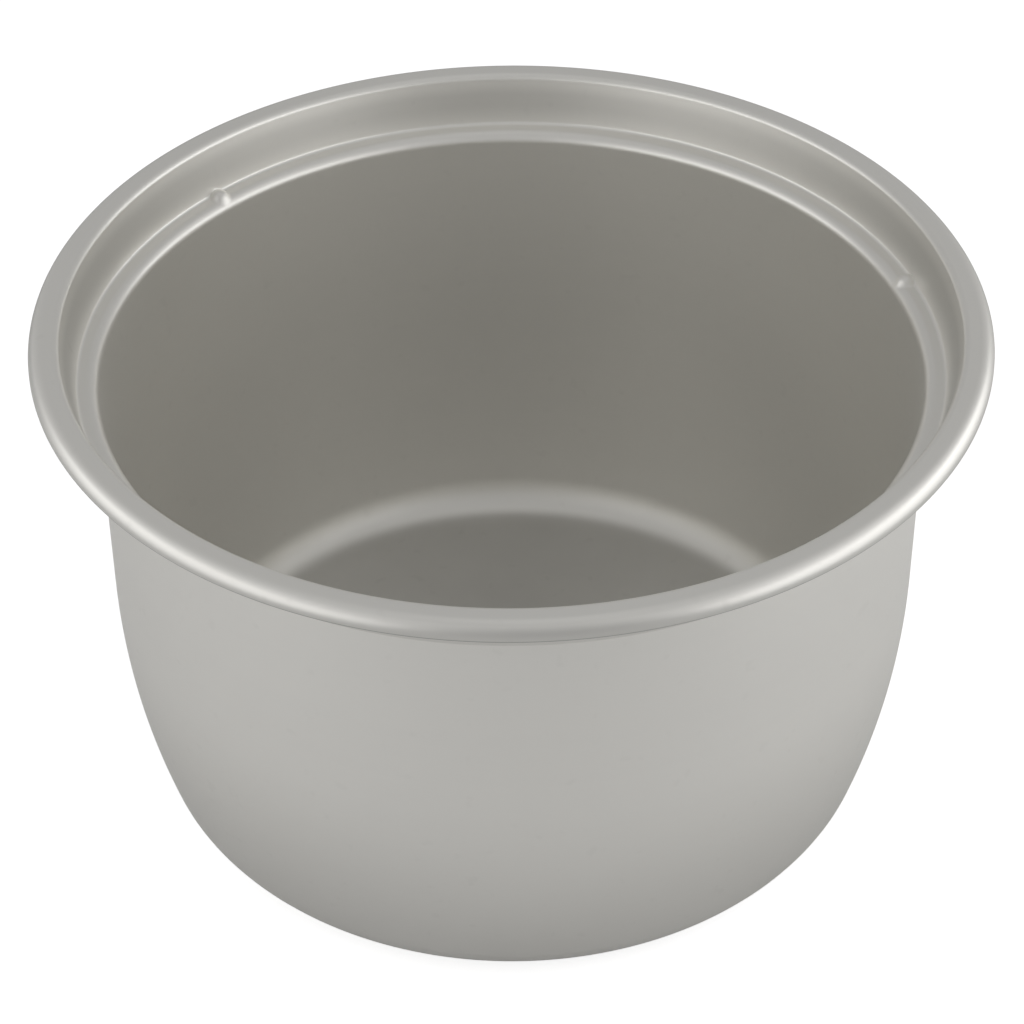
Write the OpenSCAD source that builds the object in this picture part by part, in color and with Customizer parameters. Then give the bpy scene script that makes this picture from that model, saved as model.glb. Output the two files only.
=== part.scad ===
// Inner pot of a rice cooker: one piece of drawn aluminium sheet.
// The origin is the centre of the underside of the base, and +Z is up.
// The section is described by the face that shows from above: the outside of the lip, the
// flange, the inside of the collar, the ledge, the inside of the wall and the floor. The other
// face lies one sheet thickness behind it.

/* [Sheet] */
// Thickness of the sheet
sheet = 1; // [0.8:0.1:1.5]

/* [Rim] */
// Outside diameter of the lip
rim_d = 242; // [200:1:300]
// Width of the flat flange, between the sharp corners of its two bends
flange_w = 7.6; // [7:0.1:15]
// Height of the lip that turns down from the flange
lip_h = 4.5; // [3.5:0.1:12]
// Radius of the bend between the flange and the lip, on the face that shows
lip_bend = 3.6; // [1.6:0.1:4]
// Radius of the bend between the flange and the collar, on the face that shows
collar_bend = 1.9; // [1.6:0.1:3]

/* [Collar and ledge] */
// Depth of the ledge below the flange
collar_h = 14; // [8:0.1:30]
// How far the collar leans in from the flange to the ledge
collar_lean = 3.4; // [0:0.1:8]
// Radius in the crease between the collar and the ledge
crease_r = 1; // [0.3:0.1:2]
// Width of the ledge, from the crease to the inside of the wall
ledge_w = 5.5; // [5:0.1:15]
// Radius that rolls the ledge over into the wall
ledge_roll = 3; // [1.6:0.1:4.5]

/* [Body] */
// Height of the pot, from the base to the top of the flange
height = 140.5; // [110:0.5:200]
// Height at which the straight wall and the lean of the lower wall would meet
belly_h = 38.4; // [35:0.1:60]
// Lean of the lower wall, in degrees from upright
belly_lean = 15.3; // [8:0.1:25]
// Radius that blends the straight wall into the leaning one, on the inside
belly_r = 210; // [60:0.5:300]
// Radius between the wall and the floor, on the inside
floor_r = 11.8; // [6:0.1:30]

/* [Stand-off dimples] */
// Number of dimples pressed up from the ledge
dimple_count = 3; // [1:1:8]
// Width of a dimple where it meets the ledge
dimple_d = 5.2; // [4:0.1:7]
// Height of a dimple above the ledge
dimple_h = 1.8; // [1:0.1:2.5]
// Distance of a dimple's centre from the crease
dimple_inset = 1.5; // [1.2:0.1:4]
// Direction of the first dimple, in degrees from +X
dimple_start = 17; // [0:1:359]

/* [Hidden] */

// Largest distance between a curve and the straight steps that stand for it
curve_error = 0.03;
// Reach of the profile that trims the dimples, past the top of the pot
past = 1;
// Shortest straight stretch left between a bend and the next
shortest = 0.1;
// Largest share of the straight lower wall that the belly's bend may use
belly_share = 0.98;
// Straight steps in one turn round the pot, and round a dimple's sphere
ring_steps = 240;
dome_steps = 48;

rim_r = rim_d / 2;
collar_top_r = rim_r - flange_w;
crease_at_r = collar_top_r - collar_lean;
wall_r = crease_at_r - ledge_w;
ledge_z = height - collar_h;
base_r = wall_r - (belly_h - sheet) * tan(belly_lean);

// The lip's bend leaves room for the round edge of the lip.
lip_fit_bend = min(lip_bend, lip_h - sheet / 2 - shortest);

// The corner between the lower wall and the floor turns the rest of a right angle. The belly's
// radius is limited by what that corner leaves of the lower wall.
floor_run = floor_r * tan((90 - belly_lean) / 2);
lower_wall = (belly_h - sheet) / cos(belly_lean);
belly_fit_r = min(belly_r, belly_share * (lower_wall - floor_run) / tan(belly_lean / 2));

// Each corner of the section: [distance from the axis, height, radius of the round].
SECTION = [
    [rim_r, height - lip_h + sheet / 2, 0],
    [rim_r, height, lip_fit_bend],
    [collar_top_r, height, collar_bend],
    [crease_at_r, ledge_z, crease_r],
    [wall_r, ledge_z, ledge_roll],
    [wall_r, belly_h, belly_fit_r],
    [base_r, sheet, floor_r],
    [0, sheet, 0],
];

// Direction of the straight stretch that leaves corner i.
function heading(path, i) =
    let (step = [path[i + 1].x - path[i].x, path[i + 1].y - path[i].y]) step / norm(step);

// Angle turned at corner i, in degrees, positive to the left.
function turn(path, i) =
    let (a = heading(path, i - 1), b = heading(path, i))
    atan2(a.x * b.y - a.y * b.x, a * b);

// Steps that keep an arc of this radius and angle within curve_error.
function arc_steps(radius, angle) =
    max(1, ceil(abs(angle) / (2 * acos(1 - curve_error / max(radius, 2 * curve_error)))));

// Rounded corner i of the face that lies `back` behind the face that shows, on its left. A bend
// to the left gets tighter by that much, and one to the right gets wider.
function rounded_corner(path, i, back) =
    let (
        a = heading(path, i - 1),
        angle = turn(path, i),
        side = sign(angle),
        radius = path[i].z - side * back,
        run = path[i].z * tan(abs(angle) / 2),
        left = [-a.y, a.x],
        centre = [path[i].x, path[i].y] - run * a + side * path[i].z * left,
        steps = arc_steps(radius, angle)
    )
    [
        for (k = [0:steps])
            let (swept = angle * k / steps)
            centre - side * radius * [
                left.x * cos(swept) - left.y * sin(swept),
                left.x * sin(swept) + left.y * cos(swept)
            ]
    ];

// Free end of the path, moved square to the stretch that it ends.
function end_point(path, i, along, back) =
    let (a = heading(path, along)) [path[i].x - a.y * back, path[i].y + a.x * back];

// One face of the sheet, from the edge of the lip to the axis.
function face(path, back) =
    let (last = len(path) - 1)
    [
        end_point(path, 0, 0, back),
        for (i = [1:last - 1]) each rounded_corner(path, i, back),
        end_point(path, last, last - 1, back),
    ];

function reversed(points) = [for (i = [len(points) - 1:-1:0]) points[i]];

// Half round edge of the lip, from the back face round to the face that shows.
function lip_edge() =
    let (steps = arc_steps(sheet / 2, 180), middle = SECTION[0])
    [
        for (k = [1:steps - 1])
            [
                middle.x - sheet / 2 - sheet / 2 * cos(180 * k / steps),
                middle.y - sheet / 2 * sin(180 * k / steps)
            ]
    ];

// The sheet itself.
module pressed_sheet() {
    rotate_extrude($fn = ring_steps)
        polygon(concat(face(SECTION, 0), reversed(face(SECTION, sheet)), lip_edge()));
}

// All that lies above the back face of the sheet.
module above_back_face() {
    rotate_extrude($fn = ring_steps)
        polygon(concat(face(SECTION, sheet), [[0, height + past], [rim_r - sheet, height + past]]));
}

// Spheres of the dimples, `back` smaller than the face that shows.
module dimple_spheres(back) {
    dome_r = (pow(dimple_d / 2, 2) + pow(dimple_h, 2)) / (2 * dimple_h);
    for (i = [0:dimple_count - 1])
        rotate([0, 0, dimple_start + i * 360 / dimple_count])
            translate([crease_at_r - dimple_inset, 0, ledge_z + dimple_h - dome_r])
                sphere(r = dome_r - back, $fn = dome_steps);
}

module inner_pot() {
    color([0.71, 0.71, 0.69])
        difference() {
            union() {
                pressed_sheet();
                intersection() {
                    dimple_spheres(0);
                    above_back_face();
                }
            }
            dimple_spheres(sheet);
        }
}

inner_pot();
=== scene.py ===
import math

import bpy
from mathutils import Matrix, Vector


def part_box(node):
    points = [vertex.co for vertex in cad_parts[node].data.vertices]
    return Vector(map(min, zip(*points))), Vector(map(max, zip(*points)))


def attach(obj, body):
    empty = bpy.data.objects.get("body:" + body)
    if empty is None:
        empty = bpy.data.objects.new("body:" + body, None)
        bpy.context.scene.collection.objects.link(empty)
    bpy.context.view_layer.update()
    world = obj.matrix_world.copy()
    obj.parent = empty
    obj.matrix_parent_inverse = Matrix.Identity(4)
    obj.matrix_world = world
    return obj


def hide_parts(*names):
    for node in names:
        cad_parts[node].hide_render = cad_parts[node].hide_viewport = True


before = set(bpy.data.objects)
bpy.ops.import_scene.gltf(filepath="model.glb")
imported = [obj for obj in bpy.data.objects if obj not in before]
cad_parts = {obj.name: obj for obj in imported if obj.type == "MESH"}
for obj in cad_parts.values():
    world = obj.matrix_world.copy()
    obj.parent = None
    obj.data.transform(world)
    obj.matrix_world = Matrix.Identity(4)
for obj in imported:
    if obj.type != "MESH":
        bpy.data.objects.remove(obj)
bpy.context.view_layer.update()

# The inner pot of a rice cooker: one piece of satin aluminium sheet. Lengths are in metres and
# angles in degrees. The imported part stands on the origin, with +Z up.

MM = 0.001
POT_LOW, POT_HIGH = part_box("inner_pot")

# ---------------------------------------------------------------- the pot's sizes

SHEET = 1 * MM
RIM_RADIUS = POT_HIGH[0]
HEIGHT = POT_HIGH[2] - POT_LOW[2]
FLANGE_WIDTH = 7.6 * MM
LIP_HEIGHT = 4.5 * MM
LIP_BEND = 3.6 * MM
COLLAR_BEND = 1.9 * MM
COLLAR_HEIGHT = 14 * MM
COLLAR_LEAN = 3.4 * MM
CREASE_RADIUS = 1 * MM
LEDGE_WIDTH = 5.5 * MM
LEDGE_ROLL = 3 * MM
BELLY_HEIGHT = 38.4 * MM
BELLY_LEAN = 15.3
BELLY_RADIUS = 210 * MM
FLOOR_RADIUS = 11.8 * MM

DIMPLE_COUNT = 3
DIMPLE_WIDTH = 5.2 * MM
DIMPLE_HEIGHT = 1.8 * MM
DIMPLE_INSET = 1.5 * MM
DIMPLE_START = 17

CREASE_AT = RIM_RADIUS - FLANGE_WIDTH - COLLAR_LEAN
WALL_AT = CREASE_AT - LEDGE_WIDTH
LEDGE_Z = HEIGHT - COLLAR_HEIGHT
FLOOR_AT = WALL_AT - (BELLY_HEIGHT - SHEET) * math.tan(math.radians(BELLY_LEAN))
DIMPLE_AT = CREASE_AT - DIMPLE_INSET
DOME_RADIUS = ((DIMPLE_WIDTH / 2) ** 2 + DIMPLE_HEIGHT ** 2) / (2 * DIMPLE_HEIGHT)

# ---------------------------------------------------------------- how finely it is made

RING_STEPS = 360            # steps round the pot
DIMPLE_STEPS = 20           # extra steps on each side of a dimple
ARC_STEP = 6                # degrees turned by one step of a bend
MOST_ARC = 2 * MM           # longest step along a bend
WALL_STEP = 6 * MM          # step along a straight stretch
LEDGE_STEP = 0.35 * MM      # the same on the ledge and the collar, where the dimples rise
DIMPLE_REACH = 1.5          # how far the fine steps reach past a dimple, in half widths
DIMPLE_FOOT = 0.9 * MM      # how far a dimple's foot is eased into the sheet round it
PUNCH_DEPTH = 4 * MM        # depth of the point, below the crease, that a dimple spreads from
SUPPORT = 0.15 * MM         # a flat stretch's last step before a bend


# ---------------------------------------------------------------- the section of the sheet

def section():
    """Corners of the face that shows, from the lip's edge to the axis, each with its radius."""
    return [
        (Vector((RIM_RADIUS, HEIGHT - LIP_HEIGHT + SHEET / 2)), 0),
        (Vector((RIM_RADIUS, HEIGHT)), LIP_BEND),
        (Vector((RIM_RADIUS - FLANGE_WIDTH, HEIGHT)), COLLAR_BEND),
        (Vector((CREASE_AT, LEDGE_Z)), CREASE_RADIUS),
        (Vector((WALL_AT, LEDGE_Z)), LEDGE_ROLL),
        (Vector((WALL_AT, BELLY_HEIGHT)), BELLY_RADIUS),
        (Vector((FLOOR_AT, SHEET)), FLOOR_RADIUS),
        (Vector((0, SHEET)), 0),
    ]


def left_of(direction):
    return Vector((-direction.y, direction.x))


def bend(before, corner, radius, after, back):
    """Points of one bend of the face that lies `back` behind the top one."""
    come, leave = (corner - before).normalized(), (after - corner).normalized()
    angle = math.atan2(come.x * leave.y - come.y * leave.x, come.dot(leave))
    side = math.copysign(1, angle)
    centre = corner - come * radius * math.tan(abs(angle) / 2) + left_of(come) * side * radius
    first = -left_of(come) * (side * radius - back)
    longest = min(math.radians(ARC_STEP), MOST_ARC / first.length)
    steps = math.ceil(abs(angle) / longest)
    return [centre + Matrix.Rotation(angle * step / steps, 2) @ first for step in range(steps + 1)]


def stretch(start, end):
    """Points along a straight stretch: a short step at each end, and even steps between."""
    length = (end - start).length
    if length < 4 * SUPPORT:
        return []
    inner = length - 2 * SUPPORT
    count = math.ceil(inner / step_length(start, end))
    return [start.lerp(end, (SUPPORT + inner * step / count) / length) for step in range(count + 1)]


def step_length(start, end):
    """Longest step on a straight stretch: fine on the ledge and the collar."""
    near_dimples = min(start.x, end.x) > WALL_AT and min(start.y, end.y) > LEDGE_Z - 2 * SHEET
    on_flange = max(start.y, end.y) > HEIGHT - 1.1 * SHEET
    return LEDGE_STEP if near_dimples and not on_flange else WALL_STEP


def face(back):
    """One face of the sheet, from the lip's edge to the axis."""
    corners = section()
    ends = []
    for near, far in ((corners[0][0], corners[1][0]), (corners[-1][0], corners[-2][0])):
        square = left_of((far - near).normalized())
        ends.append(near + square * (back if not ends else -back))
    points = [ends[0]]
    for (before, _), (corner, radius), (after, _) in zip(corners, corners[1:], corners[2:]):
        arc = bend(before, corner, radius, after, back)
        points += stretch(points[-1], arc[0]) + arc
    return points + stretch(points[-1], ends[1]) + [ends[1]]


def lip_edge(steps=10):
    """The half round edge of the lip, from the back face round to the top one."""
    middle = Vector((RIM_RADIUS - SHEET / 2, HEIGHT - LIP_HEIGHT + SHEET / 2))
    angles = [math.pi * (1 + step / steps) for step in range(1, steps)]
    return [middle + Vector((math.cos(a), math.sin(a))) * SHEET / 2 for a in angles]


# ---------------------------------------------------------------- the pot's mesh

def ring_angles():
    """Directions of the mesh's spokes, closer together across each dimple."""
    dimple_half = math.degrees(DIMPLE_REACH * DIMPLE_WIDTH / 2 / DIMPLE_AT)
    angles = {round(step * 360 / RING_STEPS, 4) for step in range(RING_STEPS)}
    for number in range(DIMPLE_COUNT):
        middle = DIMPLE_START + number * 360 / DIMPLE_COUNT
        near = {a for a in angles if abs((a - middle + 180) % 360 - 180) < dimple_half}
        angles -= near
        for step in range(-DIMPLE_STEPS, DIMPLE_STEPS + 1):
            angles.add(round((middle + dimple_half * step / DIMPLE_STEPS) % 360, 4))
    return [math.radians(a) for a in sorted(angles)]


def eased(length, least):
    """The larger of two lengths, with the change from one to the other rounded off."""
    near = max(0, DIMPLE_FOOT - abs(length - least))
    return max(length, least) + near * near / (4 * DIMPLE_FOOT)


def dimpled(place, back):
    """Where the dimples push a point of the face that lies `back` behind the top one."""
    for number in range(DIMPLE_COUNT):
        turn = math.radians(DIMPLE_START + number * 360 / DIMPLE_COUNT)
        outward = Vector((math.cos(turn), math.sin(turn), 0))
        dome = outward * DIMPLE_AT + Vector((0, 0, LEDGE_Z + DIMPLE_HEIGHT - DOME_RADIUS))
        if (place - dome).length > DOME_RADIUS + 2 * DIMPLE_FOOT:
            continue
        punch = outward * CREASE_AT + Vector((0, 0, LEDGE_Z - PUNCH_DEPTH))
        ray = (place - punch).normalized()
        across = punch - dome
        half = ray.dot(across)
        under_root = half * half - across.dot(across) + (DOME_RADIUS - back) ** 2
        if under_root > 0:
            return punch + ray * eased((place - punch).length, math.sqrt(under_root) - half)
    return place


def build_pot():
    """The whole sheet turned round the axis, with the dimples pressed up from both faces."""
    outline = [(point, SHEET) for point in reversed(face(SHEET))]
    outline += [(point, 0) for point in lip_edge() + face(0)]
    spokes = ring_angles()
    places, faces = [], []
    for point, back in outline:
        if point.x < 1e-6:
            places.append(Vector((0, 0, point.y)))
            continue
        for angle in spokes:
            place = Vector((math.cos(angle) * point.x, math.sin(angle) * point.x, point.y))
            places.append(dimpled(place, back))
    count = len(spokes)
    rings = len(outline) - 2

    def ring(number, spoke):
        return 1 + number * count + spoke % count

    centre_top = len(places) - 1
    for spoke in range(count):
        faces.append((0, ring(0, spoke + 1), ring(0, spoke)))
        faces.append((centre_top, ring(rings - 1, spoke), ring(rings - 1, spoke + 1)))
        for number in range(rings - 1):
            faces.append((ring(number, spoke), ring(number, spoke + 1),
                          ring(number + 1, spoke + 1), ring(number + 1, spoke)))
    mesh = bpy.data.meshes.new("pot")
    mesh.from_pydata(places, [], faces)
    mesh.validate()
    mesh.shade_smooth()
    pot = bpy.data.objects.new("pot", mesh)
    bpy.context.scene.collection.objects.link(pot)
    return pot


# ---------------------------------------------------------------- shader maths

class Wire:
    """A socket that does sums: an expression on wires and numbers adds its Math nodes."""

    def __init__(self, shop, socket):
        self.shop, self.socket = shop, socket

    def maths(self, operation, *values):
        return self.shop.node("ShaderNodeMath", {"operation": operation}, dict(enumerate(values)))

    def __add__(self, other):
        return self.maths("ADD", self, other)

    def __radd__(self, other):
        return self.maths("ADD", other, self)

    def __sub__(self, other):
        return self.maths("SUBTRACT", self, other)

    def __rsub__(self, other):
        return self.maths("SUBTRACT", other, self)

    def __mul__(self, other):
        return self.maths("MULTIPLY", self, other)

    def __rmul__(self, other):
        return self.maths("MULTIPLY", other, self)

    def __truediv__(self, other):
        return self.maths("DIVIDE", self, other)

    def __pow__(self, other):
        return self.maths("POWER", self, other)


class Shop:
    """Adds the nodes of one material or world."""

    def __init__(self, tree):
        self.tree = tree
        tree.nodes.clear()

    def node(self, kind, settings=None, values=None, out=0):
        """One node: its settings first, then the values or wires of its sockets."""
        made = self.tree.nodes.new(kind)
        for name, value in (settings or {}).items():
            setattr(made, name, value)
        for name, value in (values or {}).items():
            if isinstance(value, Wire):
                self.tree.links.new(value.socket, made.inputs[name])
            else:
                made.inputs[name].default_value = value
        return Wire(self, made.outputs[out]) if made.outputs else None

    def parts(self, wire):
        """The three numbers of a vector."""
        split = self.tree.nodes.new("ShaderNodeSeparateXYZ")
        self.tree.links.new(wire.socket, split.inputs[0])
        return [Wire(self, output) for output in split.outputs]

    def blend(self, share, first, second):
        """Mix of two colours."""
        return self.node("ShaderNodeMix", {"data_type": "RGBA"}, {0: share, 6: first, 7: second}, out=2)

    def grey(self, level):
        """The grey colour of a level."""
        return self.node("ShaderNodeCombineColor", None, {0: level, 1: level, 2: level})

    def noise(self, place, scale, detail=2.0, roughness=0.5):
        return self.node("ShaderNodeTexNoise", None,
                         {"Vector": place, "Scale": scale, "Detail": detail, "Roughness": roughness})


def warm_grey(level, warmth):
    """A near neutral colour with a little of its blue, and less of its green, taken away."""
    return (level, level * (1 - warmth / 4), level * (1 - warmth), 1)


# ---------------------------------------------------------------- the aluminium

METAL_DARK = warm_grey(0.86, 0.055)
METAL_LIGHT = warm_grey(0.90, 0.065)
SHADE_AND_SPOTS_DARK = warm_grey(0.52, 0.06)       # colour of the painted shade on the foot, base, lip and collar, and of small dull spots
EDGE_SHADE_COLOUR = warm_grey(0.35, 0.05)         # painted shade along the lip's lower edge
METAL_ROUGHNESS = 0.40
METAL_SHARE = 0.8           # the rest is scattered by the clear anodised film

# How much of SHADE_AND_SPOTS_DARK each place takes: painted shade on the foot, base, lip and collar,
# and small dull spots.
FOOT_SHADE = 0.5             # painted shade on the foot of the outer wall, darker towards the floor
BASE_SHADE = 0.85            # painted shade on the base, inside and out
LIP_SHADE = 0.5              # painted shade on the lip's rounded face
COLLAR_SHADE = 0.35          # painted shade on the collar
SPOT_WEAR = 0.04            # small dull spots

FOOT_SHADE_HEIGHT = 75 * MM     # how far up the outside the painted shade of the foot fades out
BASE_SHADE_TOP = 4 * MM           # how far up the painted shade of the base reaches
LIP_SHADE_REACH = 1.5 * MM          # how far in from the lip's outside the painted shade reaches
EDGE_SHADE_TOP = HEIGHT - LIP_HEIGHT + 0.55 * MM      # top of the painted shade along the lip's lower edge

# Sizes of the texture, in noise cells to a metre.
GRAIN_SCALE = 3200          # blasted grain, about a third of a millimetre across
LINE_SCALE = 2100           # spinning lines
BROAD_LINE_SCALE = 260
CLOUD_SCALE = 17            # soft clouds left by the blasting and the anodising bath
SPOT_SCALE = 240
RELIEF = 0.03 * MM          # depth of the grain and the lines
RELIEF_STRENGTH = 0.12


def smooth_step(shop, value, low, high):
    """0 below `low`, 1 above `high`, and smooth between."""
    return shop.node("ShaderNodeMapRange", {"interpolation_type": "SMOOTHSTEP"},
                     {0: value, 1: low, 2: high})


def satin_aluminium():
    """Fine blasted and clear anodised sheet: even satin grain over faint spinning lines, with painted
    shade on the foot, the base, the lip, the collar and the lip's lower edge.
    """
    material = bpy.data.materials.new("satin_aluminium")
    material.use_nodes = True
    shop = Shop(material.node_tree)
    place = shop.node("ShaderNodeTexCoord", out="Object")
    x, y, z = shop.parts(place)
    from_axis = (x * x + y * y) ** 0.5
    across_x, across_y, upward = shop.parts(shop.node("ShaderNodeTexCoord", out="Normal"))
    outward = (across_x * x + across_y * y) / from_axis

    grain = shop.noise(place, GRAIN_SCALE, detail=2.5, roughness=0.6)
    # The spinning lines run round the pot, so they change with radius and height alone.
    section_place = shop.node("ShaderNodeCombineXYZ", None, {0: from_axis, 1: z})
    lines = shop.noise(section_place, LINE_SCALE, detail=3, roughness=0.65)
    broad_lines = shop.noise(section_place, BROAD_LINE_SCALE)
    clouds = shop.noise(place, CLOUD_SCALE, detail=3, roughness=0.55)
    spots = smooth_step(shop, shop.noise(place, SPOT_SCALE, detail=1), 0.66, 0.78)

    # Painted shade: darker on the foot of the outer wall, on the base, on the lip and on the collar.
    foot = (smooth_step(shop, outward, 0.1, 0.6)
            * smooth_step(shop, FOOT_SHADE_HEIGHT - z, 0, FOOT_SHADE_HEIGHT))
    base = (smooth_step(shop, upward * upward, 0.7, 0.98)
            * smooth_step(shop, BASE_SHADE_TOP - z, 0, 3 * MM))
    on_lip = smooth_step(shop, from_axis, RIM_RADIUS - LIP_SHADE_REACH, RIM_RADIUS - 0.3 * MM)
    on_collar = (smooth_step(shop, from_axis, CREASE_AT, CREASE_AT + 1.5 * MM)
                 * smooth_step(shop, HEIGHT - COLLAR_BEND - z, 0, 4 * MM) * (1 - on_lip))
    painted_shade = foot * FOOT_SHADE + base * BASE_SHADE + on_lip * LIP_SHADE + on_collar * COLLAR_SHADE
    # The painted shade, made uneven by the clouds, with the small dull spots added.
    shade_and_spots = painted_shade * (0.8 + clouds * 0.4) + spots * SPOT_WEAR
    # Painted shade, darker still, along the lower side of the lip.
    near_edge = smooth_step(shop, from_axis, RIM_RADIUS - 1.5 * SHEET, RIM_RADIUS - 1.2 * SHEET)
    edge_shade = near_edge * smooth_step(shop, EDGE_SHADE_TOP - z, 0, 0.25 * MM)

    tone = clouds * 0.55 + broad_lines * 0.25 + grain * 0.2
    clean = shop.blend(tone, METAL_DARK, METAL_LIGHT)
    colour = shop.blend(shade_and_spots, clean, SHADE_AND_SPOTS_DARK)
    colour = shop.blend(edge_shade, colour, EDGE_SHADE_COLOUR)
    roughness = (METAL_ROUGHNESS + (clouds - 0.5) * 0.07 + (grain - 0.5) * 0.08
                 + (lines - 0.5) * 0.05 + spots * 0.05)
    relief = grain * 0.7 + lines * 0.3
    bump = shop.node("ShaderNodeBump", None, {
        "Strength": RELIEF_STRENGTH, "Distance": RELIEF, "Height": relief})
    surface = shop.node("ShaderNodeBsdfPrincipled", None, {
        "Base Color": colour, "Metallic": METAL_SHARE, "Roughness": roughness, "Normal": bump})
    shop.node("ShaderNodeOutputMaterial", None, {"Surface": surface})
    return material


# ---------------------------------------------------------------- camera, floor and light

CAMERA_TILT = 39.184
CAMERA_ROLL = -0.369
CAMERA_REACH = 6.4 * RIM_RADIUS
CAMERA_ASIDE = -0.00196 * RIM_RADIUS
CAMERA_RAISED = -0.4192 * RIM_RADIUS
CAMERA_LENS = 108.32
SENSOR = 36


def place_camera():
    camera = bpy.data.cameras.new("camera")
    camera.lens, camera.sensor_width = CAMERA_LENS, SENSOR
    camera.clip_start, camera.clip_end = 0.01, 50
    holder = bpy.data.objects.new("camera", camera)
    bpy.context.scene.collection.objects.link(holder)
    aim = Matrix.Rotation(math.radians(90 - CAMERA_TILT), 4, "X")
    aim @= Matrix.Rotation(math.radians(CAMERA_ROLL), 4, "Z")
    offset = aim @ Vector((-CAMERA_ASIDE, CAMERA_RAISED, CAMERA_REACH))
    holder.matrix_world = Matrix.Translation(Vector((0, 0, HEIGHT)) + offset) @ aim
    bpy.context.scene.camera = holder


FLOOR_HALF = 6.0
FLOOR_GAP = 0.05 * MM       # keeps the floor clear of the base
FLOOR_COLOUR = (0.65, 0.65, 0.65, 1)
FLOOR_LIFT = 0.72           # light that the floor adds where it is seen, so that it shows white
FLOOR_GLOSS = 0.03          # the same where the metal mirrors it


def lay_floor():
    """A pale floor that keeps the pot's shadow."""
    mesh = bpy.data.meshes.new("floor")
    h = FLOOR_HALF
    mesh.from_pydata([(-h, -h, 0), (h, -h, 0), (h, h, 0), (-h, h, 0)], [], [(0, 1, 2, 3)])
    floor = bpy.data.objects.new("floor", mesh)
    bpy.context.scene.collection.objects.link(floor)
    floor.location.z = -FLOOR_GAP
    material = bpy.data.materials.new("floor")
    material.use_nodes = True
    shop = Shop(material.node_tree)
    camera_ray = shop.node("ShaderNodeLightPath", out="Is Camera Ray")
    glossy_ray = shop.node("ShaderNodeLightPath", out="Is Glossy Ray")
    seen = camera_ray * FLOOR_LIFT + glossy_ray * FLOOR_GLOSS
    surface = shop.node("ShaderNodeBsdfPrincipled", None, {
        "Base Color": FLOOR_COLOUR, "Roughness": 0.9, "Specular IOR Level": 0.1,
        "Emission Color": shop.grey(seen), "Emission Strength": 1})
    shop.node("ShaderNodeOutputMaterial", None, {"Surface": surface})
    mesh.materials.append(material)


ROOM_STRENGTH = 0.39
LAMP_AIM = Vector((0, 0, 0.1))          # the point that every lamp faces

# Each lamp: direction from the front in degrees, distance, height, width, depth and
# brightness, where 1 is white.
LAMPS = {
    "low_right": (80, 0.5, 0.2, 0.9, 0.38, 0.98),
    "low_left": (-66, 0.5, 0.2, 0.9, 0.38, 0.78),
    "side_right": (82, 0.6, 0.42, 1.1, 0.8, 0.27),
    "side_left": (-70, 0.6, 0.42, 1.1, 0.8, 0.22),
    "top": (180, 0.2, 1.6, 1.0, 1.0, 0.10),
}


def soft_light(name, azimuth, distance, height, width, depth, strength):
    """A large soft lamp that faces the pot."""
    lamp = bpy.data.lights.new(name, "AREA")
    lamp.shape, lamp.size, lamp.size_y = "RECTANGLE", width, depth
    lamp.energy = strength * math.pi * width * depth
    holder = bpy.data.objects.new(name, lamp)
    bpy.context.scene.collection.objects.link(holder)
    turn = math.radians(azimuth)
    holder.location = (math.sin(turn) * distance, -math.cos(turn) * distance, height)
    aim = LAMP_AIM - holder.location
    holder.rotation_euler = aim.to_track_quat("-Z", "Y").to_euler()


def light_room():
    """An even room, white where the camera sees it, with soft lamps round the pot."""
    world = bpy.data.worlds.new("room")
    bpy.context.scene.world = world
    world.use_nodes = True
    shop = Shop(world.node_tree)
    camera_ray = shop.node("ShaderNodeLightPath", out="Is Camera Ray")
    level = ROOM_STRENGTH + camera_ray * (1 - ROOM_STRENGTH)
    background = shop.node("ShaderNodeBackground", None, {"Color": shop.grey(level), "Strength": 1})
    shop.node("ShaderNodeOutputWorld", None, {"Surface": background})
    for name, settings in LAMPS.items():
        soft_light(name, *settings)


# ---------------------------------------------------------------- putting it together

bpy.context.scene.view_settings.view_transform = "Standard"
place_camera()
lay_floor()
light_room()

pot = build_pot()
pot.data.materials.append(satin_aluminium())
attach(pot, "root")
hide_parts("inner_pot")
